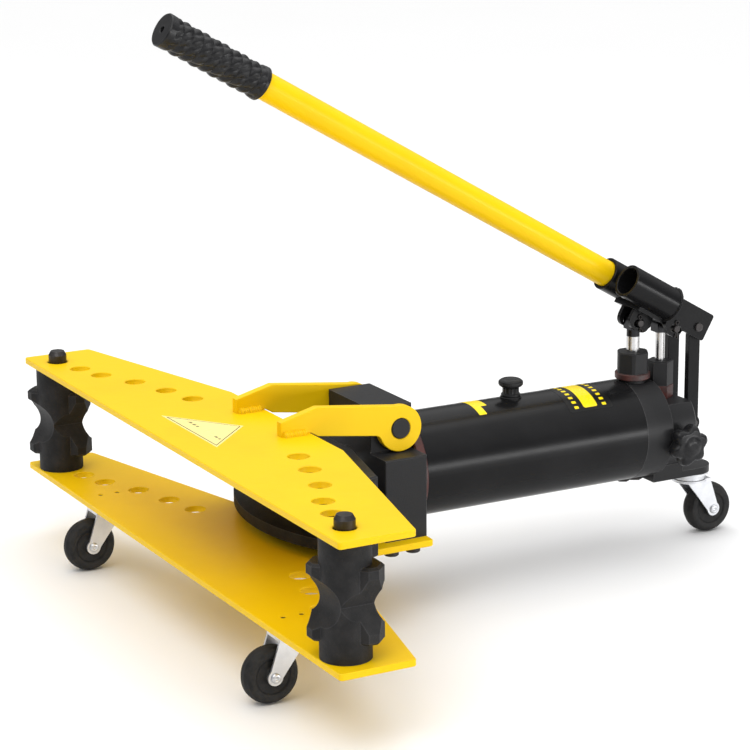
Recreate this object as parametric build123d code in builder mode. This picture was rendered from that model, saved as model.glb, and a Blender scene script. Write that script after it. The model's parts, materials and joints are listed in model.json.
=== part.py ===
from build123d import *
import math
import os

# Hand-pumped hydraulic pipe bender with two wing plates, a lifting top plate (the flap),
# corner dies on pins, a bending shoe on a ram, an oil tank, a two-plunger pump and casters.
# Millimetres. +X runs along the wing plates, +Y from the plates to the pump, +Z up from the floor.

os.makedirs("parts", exist_ok=True)

# ---- driving dimensions ----
axle_span = 682.7  # front axles to rear axle, along Y
front_edge_y = -axle_span / 2 - 6.9  # the plates' front edge is just ahead of the front axles
plate_half_length = 390.0
plate_end_depth = 80.0
plate_depth = 142.0
plate_middle_half = 131.0
plate_thickness = 7.0
bottom_plate_z = 77.5  # underside of the lower plate, which is also the casters' height
plate_gap = 119.0
tail_half_width = 95.0
tail_depth = 268.0  # the tail ends flush with the head's back face
pipe_radius = 30.0  # largest pipe that the grooves hold
axis_z = 140.0  # height of the ram, the dies' grooves and the tank

# pin holes for six pipe sizes: distance from the middle, and from the front edge
pin_hole_places = [(127, 93), (173, 82), (224, 67), (271, 46), (309, 36), (352, 26)]
pin_shank_radius = 9.7
pin_head_radius = 10.3
pin_hole_radius = 11.3  # loose enough for the flap to swing up over the pins
plate_corner_radius = 4.0
plate_edge_break = 0.7

head_depth = 50.0
head_front = 218.0  # head's front face, from the front edge
head_lower_half = 80.0
head_upper_half = 47.4
head_step_z = 174.0
head_top_z = 223.0
hinge_from_front = 249.0
hinge_z = 200.0
hinge_pin_radius = 11.0
arm_thickness = 9.7
arm_inner_x = 48.2
arm_end_radius = 25.0

ram_radius = 25.0
cylinder_bore = 35.1
tank_radius = 57.3
tank_start = 280.0
tank_end = 566.0
pump_end = 638.0
pump_radius = 50.0

large_plunger_radius = 7.5
small_plunger_radius = 5.5
lever_angle = 30.0  # the handle's rise towards the front
lever_mouth = (557.0, 318.0)  # middle of the sockets' mouths: from the front edge, and height
socket_spread = 22.0
socket_length = 68.0
socket_radius = 19.0
socket_bore = 15.4
handle_radius = 15.0
handle_reach = 612.0
grip_length = 121.0

caster_trail = 26.0
wheel_radius = 29.4
wheel_width = 22.0

# ---- derived places ----
bottom_top_z = bottom_plate_z + plate_thickness
flap_bottom_z = bottom_top_z + plate_gap
flap_top_z = flap_bottom_z + plate_thickness


def from_front(distance):
    """Y of a point at this distance behind the plates' front edge."""
    return front_edge_y + distance


def save(builder, label):
    """Name a finished piece and write it."""
    builder.part.label = label
    export_step(builder.part, "parts/" + label + ".step")


hinge_y = from_front(hinge_from_front)
pin_holes = [(side * x, from_front(d)) for x, d in pin_hole_places for side in (1, -1)]
die_x, die_y = pin_hole_places[-1][0], from_front(pin_hole_places[-1][1])

# ---- the two wing plates ----

# six-sided outline: straight front and ends, slanted back
wing_corners = [
    (plate_half_length, from_front(0)),
    (plate_half_length, from_front(plate_end_depth)),
    (plate_middle_half, from_front(plate_depth)),
    (-plate_middle_half, from_front(plate_depth)),
    (-plate_half_length, from_front(plate_end_depth)),
    (-plate_half_length, from_front(0)),
]
caster_screw_pitch = 20.0
caster_screw_radius = 2.5
front_caster_x = 228.0
front_swivel_y = caster_trail - axle_span / 2
caster_screw_places = [
    (side * front_caster_x, front_swivel_y + step * caster_screw_pitch / 2)
    for side in (1, -1)
    for step in (1, -1)
]
head_screw_radius = 4.0
head_screw_places = [(x, from_front(d)) for x in (70, -70) for d in (230, 256)]

with BuildPart() as bottom_plate:
    with BuildSketch(Plane.XY.offset(bottom_plate_z)) as lower_outline:
        with BuildLine():
            Polyline(*wing_corners, close=True)
        make_face()
        with Locations((0, from_front(tail_depth / 2))):
            Rectangle(2 * tail_half_width, tail_depth)
        fillet(lower_outline.vertices(), plate_corner_radius)
        with Locations(*pin_holes):
            Circle(pin_hole_radius, mode=Mode.SUBTRACT)
        with Locations(*caster_screw_places):
            Circle(caster_screw_radius + 0.1, mode=Mode.SUBTRACT)
        with Locations(*head_screw_places):
            Circle(head_screw_radius + 0.3, mode=Mode.SUBTRACT)
    extrude(amount=plate_thickness)
    chamfer(bottom_plate.faces().filter_by(Axis.Z).edges(), plate_edge_break)
save(bottom_plate, "bottom_plate")

with BuildPart() as top_plate:
    with BuildSketch(Plane.XY.offset(flap_bottom_z)) as upper_outline:
        with BuildLine():
            Polyline(*wing_corners, close=True)
        make_face()
        fillet(upper_outline.vertices(), plate_corner_radius)
        with Locations(*pin_holes):
            Circle(pin_hole_radius, mode=Mode.SUBTRACT)
    extrude(amount=plate_thickness)
    chamfer(top_plate.faces().filter_by(Axis.Z).edges(), plate_edge_break)
save(top_plate, "top_plate")

# ---- hinge arms on the top plate, with their weld beads ----
arm_root = 108.0  # front end of the arms, on the plate
arm_rise = 151.0  # where the arms leave the plate and bend down to the hinge
for name, arm_x in (("arm_right", arm_inner_x), ("arm_left", -arm_inner_x - arm_thickness)):
    with BuildPart() as arm:
        with BuildSketch(Plane.YZ.offset(arm_x)) as arm_profile:
            with BuildLine():
                Polyline(
                    (from_front(arm_root), flap_top_z),
                    (from_front(arm_root), flap_top_z + 15),
                    (from_front(arm_rise), flap_top_z + 26),
                    (hinge_y - 3, hinge_z + arm_end_radius - 0.2),
                    (hinge_y - 9, hinge_z - 7),
                    (from_front(arm_rise), flap_top_z - 5),
                    (from_front(plate_depth + 0.5), flap_top_z),
                    close=True,
                )
            make_face()
            with Locations((hinge_y, hinge_z)):
                Circle(arm_end_radius)
            crook = arm_profile.vertices().sort_by_distance((hinge_y - 24, hinge_z - 5, 0))[0]
            fillet(crook, 9)
            with Locations((hinge_y, hinge_z)):
                Circle(hinge_pin_radius + 0.3, mode=Mode.SUBTRACT)
        extrude(amount=arm_thickness)
        chamfer(arm.faces().filter_by(Axis.X).edges(), plate_edge_break)
    save(arm, name)

weld_size = 6.0
weld_length = 28.0
weld_end = 138.0
weld_bulge = 0.62  # how far the bead's rounded face stands out, as a share of its size
with BuildPart() as arm_welds:
    for side in (1, -1):
        for face_x, way in ((arm_inner_x + arm_thickness, 1), (arm_inner_x, -1)):
            with BuildSketch(Plane.XZ.offset(-from_front(weld_end))):
                with BuildLine():
                    x0 = side * face_x
                    out = side * way * weld_size
                    Line((x0, flap_top_z), (x0 + out, flap_top_z))
                    ThreePointArc(
                        (x0 + out, flap_top_z),
                        (x0 + weld_bulge * out, flap_top_z + weld_bulge * weld_size),
                        (x0, flap_top_z + weld_size),
                    )
                    Line((x0, flap_top_z + weld_size), (x0, flap_top_z))
                make_face()
            extrude(amount=weld_length)
save(arm_welds, "arm_welds")

decal_thickness = 0.4
with BuildPart() as decal_plate:
    with BuildSketch(Plane.XY.offset(flap_top_z)):
        with BuildLine():
            Polyline((-80, from_front(35)), (58, from_front(35)), (0, from_front(93)), close=True)
        make_face()
    extrude(amount=decal_thickness)
save(decal_plate, "decal_plate")

# ---- corner dies and their pins ----
die_half = 31.0
die_body_half = 37.5
die_boss_radius = 25.0
die_play = 0.3  # gap between each boss and its plate
die_long_chamfer = 39.0
die_short_chamfer = 12.0
die_edge_break = 2.5
vee_half_height = 29.0
vee_depth = 12.0
head_recess = 4.0  # the pin's thicker head sits this deep in the die
for name, x in (("die_right", die_x), ("die_left", -die_x)):
    with BuildPart() as die:
        with BuildSketch(Plane.XY.offset(axis_z - die_body_half)) as die_plan:
            with Locations((x, die_y)):
                Rectangle(2 * die_half, 2 * die_half)
            outer_front = die_plan.vertices().sort_by_distance((x + 99, die_y - 99, 0))
            chamfer(outer_front[1:], die_short_chamfer)
            outer_front = die_plan.vertices().sort_by_distance((x + 99, die_y - 99, 0))
            chamfer(outer_front[0], die_long_chamfer)
        extrude(amount=2 * die_body_half)
        chamfer(die.faces().filter_by(Axis.Z).edges(), die_edge_break)
        with BuildSketch(Plane.XY.offset(bottom_top_z + die_play)):
            with Locations((x, die_y)):
                Circle(die_boss_radius)
        extrude(amount=plate_gap - 2 * die_play)
        # the largest pipe's groove runs along the front face, a smaller one along the back
        for side, groove_radius, depth in ((-1, pipe_radius, 15.5), (1, 24.0, 11.0)):
            with BuildSketch(Plane.YZ.offset(x - die_half)):
                with Locations((die_y + side * (die_half + groove_radius - depth), axis_z)):
                    Circle(groove_radius)
            extrude(amount=2 * die_half, mode=Mode.SUBTRACT)
        # the smallest groove runs along the inner face, a V groove along the outer one
        with BuildSketch(Plane.XZ.offset(-die_y - die_half)):
            with Locations((x - die_half - 8, axis_z)):
                Circle(17.0)
            with BuildLine():
                Polyline(
                    (x + die_half + 1, axis_z + vee_half_height),
                    (x + die_half - vee_depth, axis_z),
                    (x + die_half + 1, axis_z - vee_half_height),
                    close=True,
                )
            make_face()
        extrude(amount=2 * die_half, mode=Mode.SUBTRACT)
        # bore for the pin, wider at the top for its head
        with BuildSketch(Plane.XY.offset(bottom_top_z)):
            with Locations((x, die_y)):
                Circle(pin_shank_radius + 0.1)
        extrude(amount=plate_gap, mode=Mode.SUBTRACT)
        with BuildSketch(Plane.XY.offset(flap_bottom_z - head_recess - die_play)):
            with Locations((x, die_y)):
                Circle(pin_head_radius + 0.6)
        extrude(amount=head_recess, mode=Mode.SUBTRACT)
    save(die, name)

pin_bottom_z = bottom_plate_z - 8.5
pin_top_z = flap_top_z + 13.0
for name, x in (("die_pin_right", die_x), ("die_pin_left", -die_x)):
    with BuildPart() as die_pin:
        with BuildSketch(Plane.XY.offset(pin_bottom_z)):
            with Locations((x, die_y)):
                Circle(pin_shank_radius)
        extrude(amount=flap_bottom_z - pin_bottom_z)
        with BuildSketch(Plane.XY.offset(flap_bottom_z - head_recess)):
            with Locations((x, die_y)):
                Circle(pin_head_radius)
        extrude(amount=pin_top_z - flap_bottom_z + head_recess)
        # the tapered top guides the flap's hole as it comes down
        chamfer(die_pin.faces().sort_by(Axis.Z)[-1].edges(), length=4.5, length2=2.6)
        chamfer(die_pin.faces().sort_by(Axis.Z)[0].edges(), 1.5)
    save(die_pin, name)

# ---- head block, its screws and the hinge pin ----
wiper_depth = 6.0
screw_bore_depth = 24.0
screw_head_height = 11.0
screw_head_radius = 8.0
with BuildPart() as head_block:
    with BuildSketch(Plane.XZ.offset(-from_front(head_front + head_depth))) as head_profile:
        with BuildLine():
            Polyline(
                (head_lower_half, bottom_top_z),
                (head_lower_half, head_step_z),
                (head_upper_half, head_step_z),
                (head_upper_half, head_top_z),
                (-head_upper_half, head_top_z),
                (-head_upper_half, head_step_z),
                (-head_lower_half, head_step_z),
                (-head_lower_half, bottom_top_z),
                close=True,
            )
        make_face()
    extrude(amount=head_depth)
    chamfer(head_block.edges().filter_by(Axis.Y).sort_by(Axis.Z)[2:], 1.2)
    chamfer(head_block.faces().filter_by(Axis.Y).edges().filter_by(Axis.Z), 1.0)
    with BuildSketch(Plane.XZ.offset(-from_front(head_front + head_depth))):
        with Locations((0, axis_z)):
            Circle(ram_radius + 0.08)
    extrude(amount=head_depth, mode=Mode.SUBTRACT)
    with BuildSketch(Plane.XZ.offset(-from_front(head_front + wiper_depth))):
        with Locations((0, axis_z)):
            Circle(ram_radius + wiper_depth)
    extrude(amount=wiper_depth, mode=Mode.SUBTRACT)
    with BuildSketch(Plane.YZ.offset(-head_upper_half)):
        with Locations((hinge_y, hinge_z)):
            Circle(hinge_pin_radius + 0.02)
    extrude(amount=2 * head_upper_half, mode=Mode.SUBTRACT)
    with BuildSketch(Plane.XY.offset(bottom_top_z)):
        with Locations(*head_screw_places):
            Circle(head_screw_radius + 0.05)
    extrude(amount=screw_bore_depth, mode=Mode.SUBTRACT)
save(head_block, "head_block")

with BuildPart() as rod_wiper:
    with BuildSketch(Plane.XZ.offset(-from_front(head_front + wiper_depth - 0.1))):
        with Locations((0, axis_z)):
            Circle(ram_radius + wiper_depth - 0.1)
            Circle(ram_radius + 0.3, mode=Mode.SUBTRACT)
    extrude(amount=wiper_depth + 0.5)
    chamfer(rod_wiper.faces().sort_by(Axis.Y)[0].edges(), 0.8)
save(rod_wiper, "rod_wiper")

with BuildPart() as head_screws:
    with BuildSketch(Plane.XY.offset(bottom_plate_z - screw_head_height)):
        with Locations(*head_screw_places):
            Circle(screw_head_radius)
    extrude(amount=screw_head_height)
    chamfer(head_screws.faces().filter_by(Axis.Z).group_by(Axis.Z)[0].edges(), 0.8)
    with BuildSketch(Plane.XY.offset(bottom_plate_z)):
        with Locations(*head_screw_places):
            Circle(head_screw_radius)
    extrude(amount=plate_thickness + screw_bore_depth - 2)
    with BuildSketch(Plane.XY.offset(bottom_plate_z - screw_head_height)):
        with Locations(*head_screw_places):
            RegularPolygon(3.5, 6)
    extrude(amount=screw_head_height / 2, mode=Mode.SUBTRACT)
save(head_screws, "head_screws")

hinge_pin_half = arm_inner_x + arm_thickness + 1.2
with BuildPart() as hinge_pin:
    with BuildSketch(Plane.YZ.offset(-hinge_pin_half)):
        with Locations((hinge_y, hinge_z)):
            Circle(hinge_pin_radius)
    extrude(amount=2 * hinge_pin_half)
    chamfer(hinge_pin.faces().filter_by(Axis.X).edges(), 1.0)
save(hinge_pin, "hinge_pin")

# ---- ram, piston and return spring ----
nose_front = 188.0
piston_front = 520.0
piston_length = 26.0
stub_radius = 14.0
with BuildPart() as ram_rod:
    with BuildSketch(Plane.XZ.offset(-from_front(piston_front))):
        with Locations((0, axis_z)):
            Circle(ram_radius)
    extrude(amount=piston_front - nose_front)
    chamfer(ram_rod.faces().sort_by(Axis.Y)[0].edges(), 1.5)
    with BuildSketch(Plane.XZ.offset(-from_front(piston_front + piston_length))):
        with Locations((0, axis_z)):
            Circle(stub_radius)
    extrude(amount=piston_length)
save(ram_rod, "ram_rod")

seal_width = 7.0
with BuildPart() as piston:
    with BuildSketch(Plane.XZ.offset(-from_front(piston_front + piston_length))):
        with Locations((0, axis_z)):
            Circle(cylinder_bore - 0.1)
            Circle(stub_radius + 0.02, mode=Mode.SUBTRACT)
    extrude(amount=piston_length)
    with BuildSketch(Plane.XZ.offset(-from_front(piston_front + 17))):
        with Locations((0, axis_z)):
            Circle(cylinder_bore + 1)
            Circle(cylinder_bore - 5, mode=Mode.SUBTRACT)
    extrude(amount=seal_width, mode=Mode.SUBTRACT)
save(piston, "piston")

with BuildPart() as piston_seal:
    with BuildSketch(Plane.XZ.offset(-from_front(piston_front + 16.9))):
        with Locations((0, axis_z)):
            Circle(cylinder_bore - 0.05)
            Circle(cylinder_bore - 4.95, mode=Mode.SUBTRACT)
    extrude(amount=seal_width - 0.2)
save(piston_seal, "piston_seal")

spring_radius = 30.0
spring_wire = 1.9
spring_start = 272.0
spring_length = piston_front - spring_start - 2 * spring_wire
with BuildPart() as return_spring:
    with BuildLine() as spring_line:
        Helix(
            pitch=spring_length / 11,
            height=spring_length - 1,
            radius=spring_radius,
            center=(0, from_front(spring_start + spring_wire), axis_z),
            direction=(0, 1, 0),
        )
    with BuildSketch(spring_line.line ^ 0):
        Circle(spring_wire)
    sweep()
save(return_spring, "return_spring")

# ---- bending shoe ----
shoe_front = 103.5
shoe_radius = 225.0
shoe_half_width = 150.0
shoe_half_height = 43.0
shoe_back = 196.0
hub_back = 208.0
with BuildPart() as bending_shoe:
    with BuildSketch(Plane.XY.offset(axis_z - shoe_half_height)):
        arc_drop = shoe_radius - math.sqrt(shoe_radius**2 - shoe_half_width**2)
        end_y = from_front(shoe_front + arc_drop)
        with BuildLine():
            ThreePointArc((-shoe_half_width, end_y), (0, from_front(shoe_front)), (shoe_half_width, end_y))
            Polyline(
                (shoe_half_width, end_y),
                (shoe_half_width - 4, end_y + 12),
                (48, from_front(shoe_back)),
                (-48, from_front(shoe_back)),
                (4 - shoe_half_width, end_y + 12),
                (-shoe_half_width, end_y),
            )
        make_face()
    extrude(amount=2 * shoe_half_height)
    # pipe groove round the front
    groove_centre_y = from_front(shoe_front + shoe_radius)
    with BuildSketch(Plane.YZ):
        with Locations((groove_centre_y - shoe_radius, axis_z)):
            Circle(pipe_radius + 0.3)
    revolve(axis=Axis((0, groove_centre_y, 0), (0, 0, 1)), revolution_arc=360, mode=Mode.SUBTRACT)
    chamfer(bending_shoe.faces().filter_by(Axis.Z).edges(), 1.5)
    with BuildSketch(Plane.XZ.offset(-from_front(hub_back))):
        with Locations((0, axis_z)):
            Circle(32)
    extrude(amount=hub_back - shoe_back + 3)
    chamfer(bending_shoe.faces().sort_by(Axis.Y)[-1].edges(), 1.2)
    with BuildSketch(Plane.XZ.offset(-from_front(hub_back))):
        with Locations((0, axis_z)):
            Circle(ram_radius + 0.35)
    extrude(amount=hub_back - nose_front + 0.4, mode=Mode.SUBTRACT)
save(bending_shoe, "bending_shoe")

# ---- cylinder and tank ----
cylinder_outer = 42.0
with BuildPart() as work_cylinder:
    with BuildSketch(Plane.XZ.offset(-from_front(tank_end - 0.2))):
        with Locations((0, axis_z)):
            Circle(cylinder_outer)
            Circle(cylinder_bore, mode=Mode.SUBTRACT)
    extrude(amount=tank_end - 0.2 - head_front - head_depth)
save(work_cylinder, "work_cylinder")

with BuildPart() as front_flange:
    with BuildSketch(Plane.XZ.offset(-from_front(tank_start))):
        with Locations((0, axis_z)):
            Circle(tank_radius + 7)
            Circle(cylinder_outer + 0.1, mode=Mode.SUBTRACT)
    extrude(amount=tank_start - head_front - head_depth)
    outer_edges = front_flange.faces().filter_by(Axis.Y).edges().group_by(SortBy.LENGTH)[-1]
    chamfer(outer_edges, 1.5)
save(front_flange, "front_flange")

filler_y = from_front(420)
filler_boss_radius = 12.0
with BuildPart() as tank_tube:
    with BuildSketch(Plane.XZ.offset(-from_front(tank_end))):
        with Locations((0, axis_z)):
            Circle(tank_radius)
            Circle(tank_radius - 3, mode=Mode.SUBTRACT)
    extrude(amount=tank_end - tank_start)
    with BuildSketch(Plane.XY.offset(axis_z)):
        with Locations((0, filler_y)):
            Circle(filler_boss_radius)
    extrude(amount=tank_radius + 5, mode=Mode.SUBTRACT)
save(tank_tube, "tank_tube")

boss_top_z = axis_z + tank_radius + 2
with BuildPart() as filler_boss:
    with BuildSketch(Plane.XY.offset(axis_z + tank_radius - 8)):
        with Locations((0, filler_y)):
            Circle(filler_boss_radius - 0.1)
            Circle(7.1, mode=Mode.SUBTRACT)
    extrude(amount=boss_top_z - axis_z - tank_radius + 8)
    chamfer(filler_boss.faces().sort_by(Axis.Z)[-1].edges().sort_by(SortBy.LENGTH)[-1], 0.8)
save(filler_boss, "filler_boss")

with BuildPart() as filler_plug:
    with BuildSketch(Plane(origin=(0, filler_y, boss_top_z), x_dir=(0, 1, 0), z_dir=(1, 0, 0))):
        with BuildLine():
            Polyline((0, 19.5), (0, -12), (6.9, -12), (6.9, 0.2), (9.5, 0.2), (9.5, 9), (13.4, 12.5))
            ThreePointArc((13.4, 12.5), (12.6, 17.5), (9, 19.5))
            Line((9, 19.5), (0, 19.5))
        make_face()
    revolve(axis=Axis((0, filler_y, 0), (0, 0, 1)))
save(filler_plug, "filler_plug")

# ---- pump body with its glands and plungers ----
fulcrum_local = (111.0, -8.0)  # along the lever from the sockets' mouths, and above its axis
large_pin_local = (48.0, -34.0)
small_pin_local = (84.0, -22.0)
rise = math.radians(lever_angle)


def lever_point(along, above):
    """Y and Z of a point given along the lever, from its mouths, and above its axis."""
    y = from_front(lever_mouth[0]) + along * math.cos(rise) + above * math.sin(rise)
    z = lever_mouth[1] - along * math.sin(rise) + above * math.cos(rise)
    return y, z


fulcrum_y, fulcrum_z = lever_point(*fulcrum_local)
large_pin_y, large_pin_z = lever_point(*large_pin_local)
small_pin_y, small_pin_z = lever_point(*small_pin_local)

collar_end = 600.0
boss_radius = 15.3
large_flat_z = 195.0
large_seat_z = 199.0
washer_thickness = 7.0
small_flat_z = 172.0
link_inner_x = 16.0
link_thickness = 8.0
link_pin_y, link_pin_z = from_front(650), 141.0
link_pin_radius = 5.0
valve_y, valve_z = from_front(613.5), 131.0
bore_bottom_z = 148.0
foot_half_width = 23.0
rear_swivel_y = axle_span / 2 - caster_trail
with BuildPart() as pump_body:
    with BuildSketch(Plane.XZ.offset(-from_front(collar_end))):
        with Locations((0, axis_z)):
            Circle(tank_radius)
    extrude(amount=collar_end - tank_end)
    with BuildSketch(Plane.XZ.offset(-from_front(pump_end))):
        with Locations((0, axis_z)):
            Circle(pump_radius)
    extrude(amount=pump_end - collar_end)
    chamfer(pump_body.faces().sort_by(Axis.Y)[-1].edges(), 2.0)
    chamfer(pump_body.edges().filter_by(GeomType.CIRCLE).sort_by(Axis.Y)[1:2], 1.0)
    # flats for the two glands
    with BuildSketch(Plane.XY.offset(large_flat_z)):
        with Locations((0, from_front(collar_end - 17))):
            Rectangle(80, 34.2)
    extrude(amount=10, mode=Mode.SUBTRACT)
    with BuildSketch(Plane.XY.offset(small_flat_z)):
        with Locations((0, from_front(collar_end + 20))):
            Rectangle(110, 39.9)
    extrude(amount=30, mode=Mode.SUBTRACT)
    with BuildSketch(Plane.XY.offset(large_flat_z)):
        with Locations((0, large_pin_y)):
            Circle(boss_radius)
    extrude(amount=large_seat_z - large_flat_z)
    # ear for the links behind, foot for the rear caster below
    with BuildSketch(Plane.YZ.offset(0.5 - link_inner_x)):
        with Locations((link_pin_y, link_pin_z)):
            Circle(13)
        with Locations((link_pin_y - 9, link_pin_z)):
            Rectangle(18, 26)
    extrude(amount=2 * link_inner_x - 1)
    with BuildSketch(Plane.XY.offset(bottom_plate_z)):
        with Locations((0, (from_front(598) + rear_swivel_y) / 2)):
            Rectangle(2 * foot_half_width, rear_swivel_y - from_front(598))
        with Locations((0, rear_swivel_y)):
            Circle(foot_half_width)
    extrude(amount=8)
    with BuildSketch(Plane.XY.offset(bottom_plate_z + 8)):
        with Locations((0, from_front(618))):
            Rectangle(2 * foot_half_width, 40)
    extrude(amount=14)
    # bores: link pin, plungers, release valve
    with BuildSketch(Plane.YZ.offset(-link_inner_x)):
        with Locations((link_pin_y, link_pin_z)):
            Circle(link_pin_radius + 0.05)
    extrude(amount=2 * link_inner_x, mode=Mode.SUBTRACT)
    with BuildSketch(Plane.XY.offset(bore_bottom_z)):
        with Locations((0, large_pin_y)):
            Circle(large_plunger_radius + 0.06)
        with Locations((0, small_pin_y)):
            Circle(small_plunger_radius + 0.06)
    extrude(amount=80, mode=Mode.SUBTRACT)
    with BuildSketch(Plane.YZ.offset(18)):
        with Locations((valve_y, valve_z)):
            Circle(6.06)
    extrude(amount=60, mode=Mode.SUBTRACT)
    with BuildSketch(Plane.YZ.offset(46)):
        with Locations((valve_y, valve_z)):
            Circle(13)
    extrude(amount=10, mode=Mode.SUBTRACT)
save(pump_body, "pump_body")

with BuildPart() as valve_plugs:
    for plug_y, plug_radius in ((from_front(571), 8.0), (from_front(587), 9.5)):
        with BuildSketch(Plane.XY.offset(axis_z - tank_radius - 4)):
            with Locations((0, plug_y)):
                RegularPolygon(plug_radius, 6)
        extrude(amount=4)
save(valve_plugs, "valve_plugs")

with BuildPart() as large_washer:
    with BuildSketch(Plane.XY.offset(large_seat_z)):
        with Locations((0, large_pin_y)):
            Circle(20)
            Circle(large_plunger_radius + 0.3, mode=Mode.SUBTRACT)
    extrude(amount=washer_thickness)
    chamfer(large_washer.edges().group_by(SortBy.LENGTH)[-1], 0.8)
save(large_washer, "large_washer")

large_gland_top = 230.0
with BuildPart() as large_gland:
    with BuildSketch(Plane.XY.offset(large_seat_z + washer_thickness)):
        with Locations((0, large_pin_y)):
            RegularPolygon(19.6, 6, rotation=30)
    extrude(amount=large_gland_top - large_seat_z - washer_thickness)
    with BuildSketch(Plane.XY.offset(large_seat_z + washer_thickness)):
        with Locations((0, large_pin_y)):
            Circle(18.6)
    extrude(amount=large_gland_top - large_seat_z - washer_thickness, taper=0.5, mode=Mode.INTERSECT)
    chamfer(large_gland.faces().sort_by(Axis.Z)[-1].edges(), 1.2)
    with BuildSketch(Plane.XY.offset(large_seat_z + washer_thickness)):
        with Locations((0, large_pin_y)):
            Circle(large_plunger_radius + 0.08)
    extrude(amount=40, mode=Mode.SUBTRACT)
save(large_gland, "large_gland")

small_collar_top = 187.0
small_gland_top = 215.0
with BuildPart() as small_collar:
    with BuildSketch(Plane.XY.offset(small_flat_z)):
        with Locations((0, small_pin_y)):
            RegularPolygon(16.0, 6)
            Circle(small_plunger_radius + 0.3, mode=Mode.SUBTRACT)
    extrude(amount=small_collar_top - small_flat_z)
    chamfer(small_collar.faces().sort_by(Axis.Z)[-1].outer_wire().edges(), 0.8)
save(small_collar, "small_collar")

with BuildPart() as small_gland:
    with BuildSketch(Plane.XY.offset(small_collar_top)):
        with Locations((0, small_pin_y)):
            RegularPolygon(15.6, 6)
    extrude(amount=small_gland_top - small_collar_top)
    chamfer(small_gland.faces().sort_by(Axis.Z)[-1].edges(), 1.2)
    with BuildSketch(Plane.XY.offset(small_collar_top)):
        with Locations((0, small_pin_y)):
            Circle(small_plunger_radius + 0.08)
    extrude(amount=40, mode=Mode.SUBTRACT)
save(small_gland, "small_gland")

plunger_pin_radius = 4.0
for name, pin_y, pin_z, radius, length, half_x in (
    ("large_plunger", large_pin_y, large_pin_z, large_plunger_radius, 82.0, 7.0),
    ("small_plunger", small_pin_y, small_pin_z, small_plunger_radius, 88.0, 7.0),
):
    head_radius = 8.5
    with BuildPart() as plunger:
        with BuildSketch(Plane.XY.offset(pin_z - head_radius - length)):
            with Locations((0, pin_y)):
                Circle(radius)
        extrude(amount=length)
        chamfer(plunger.faces().sort_by(Axis.Z)[0].edges(), 0.8)
        with BuildSketch(Plane.YZ.offset(-half_x)):
            with Locations((pin_y, pin_z)):
                Circle(head_radius)
            with Locations((pin_y, pin_z - head_radius / 2)):
                Rectangle(2 * head_radius, head_radius)
        extrude(amount=2 * half_x)
        with BuildSketch(Plane.YZ.offset(-half_x)):
            with Locations((pin_y, pin_z)):
                Circle(plunger_pin_radius + 0.02)
        extrude(amount=2 * half_x, mode=Mode.SUBTRACT)
    save(plunger, name)

ear_inner_x = 8.0
ear_thickness = 5.0
ear_slot_travel = 4.4  # the ears' slot lies level at rest and lets the pin slide towards the handle
ear_slot_lead = 1.05
cheek_inner_x = link_inner_x + link_thickness + 0.5
cheek_thickness = 6.0
for name, pin_y, pin_z, half_x in (
    ("large_plunger_pin", large_pin_y, large_pin_z, ear_inner_x + ear_thickness + 2.5),
    ("small_plunger_pin", small_pin_y, small_pin_z, cheek_inner_x + cheek_thickness + 2.5),
):
    with BuildPart() as plunger_pin:
        with BuildSketch(Plane.YZ.offset(-half_x)):
            with Locations((pin_y, pin_z)):
                Circle(plunger_pin_radius)
        extrude(amount=2 * half_x)
        chamfer(plunger_pin.faces().filter_by(Axis.X).edges(), 0.6)
    save(plunger_pin, name)

# ---- links from the pump body up to the lever's fulcrum ----
with BuildPart() as link_bars:
    for inner_x in (link_inner_x, -link_inner_x - link_thickness):
        with BuildSketch(Plane.YZ.offset(inner_x)):
            with Locations(((fulcrum_y + link_pin_y) / 2, (fulcrum_z + link_pin_z) / 2)):
                Rectangle(15, fulcrum_z - link_pin_z)
            with Locations((fulcrum_y, fulcrum_z), (link_pin_y, link_pin_z)):
                Circle(9.5)
                Circle(link_pin_radius + 0.1, mode=Mode.SUBTRACT)
        extrude(amount=link_thickness)
    chamfer(link_bars.faces().filter_by(Axis.X).edges(), 0.5)
save(link_bars, "link_bars")

with BuildPart() as link_pin:
    reach = link_inner_x + link_thickness + 3
    with BuildSketch(Plane.YZ.offset(-reach)):
        with Locations((link_pin_y, link_pin_z)):
            Circle(link_pin_radius)
    extrude(amount=2 * reach)
    chamfer(link_pin.faces().filter_by(Axis.X).edges(), 0.6)
save(link_pin, "link_pin")

# ---- lever: sockets, web, cheeks, fulcrum pin ----
lever_along = (0, math.cos(rise), -math.sin(rise))


def lever_plane(x, along=0.0):
    """Plane of a lever profile: its X runs along the lever, its Y stands above its axis."""
    y, z = lever_point(along, 0)
    return Plane(origin=(x, y, z), x_dir=lever_along, z_dir=(1, 0, 0))


def lever_section(x, along=0.0):
    """Plane across the lever, facing back along it."""
    y, z = lever_point(along, 0)
    return Plane(origin=(x, y, z), x_dir=(1, 0, 0), z_dir=lever_along)


for name, x in (("socket_right", socket_spread), ("socket_left", -socket_spread)):
    with BuildPart() as socket:
        with BuildSketch(lever_section(x)):
            Circle(socket_radius)
            Circle(socket_bore, mode=Mode.SUBTRACT)
        extrude(amount=socket_length)
        chamfer(socket.edges().filter_by(GeomType.CIRCLE), 0.5)
    save(socket, name)

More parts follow.
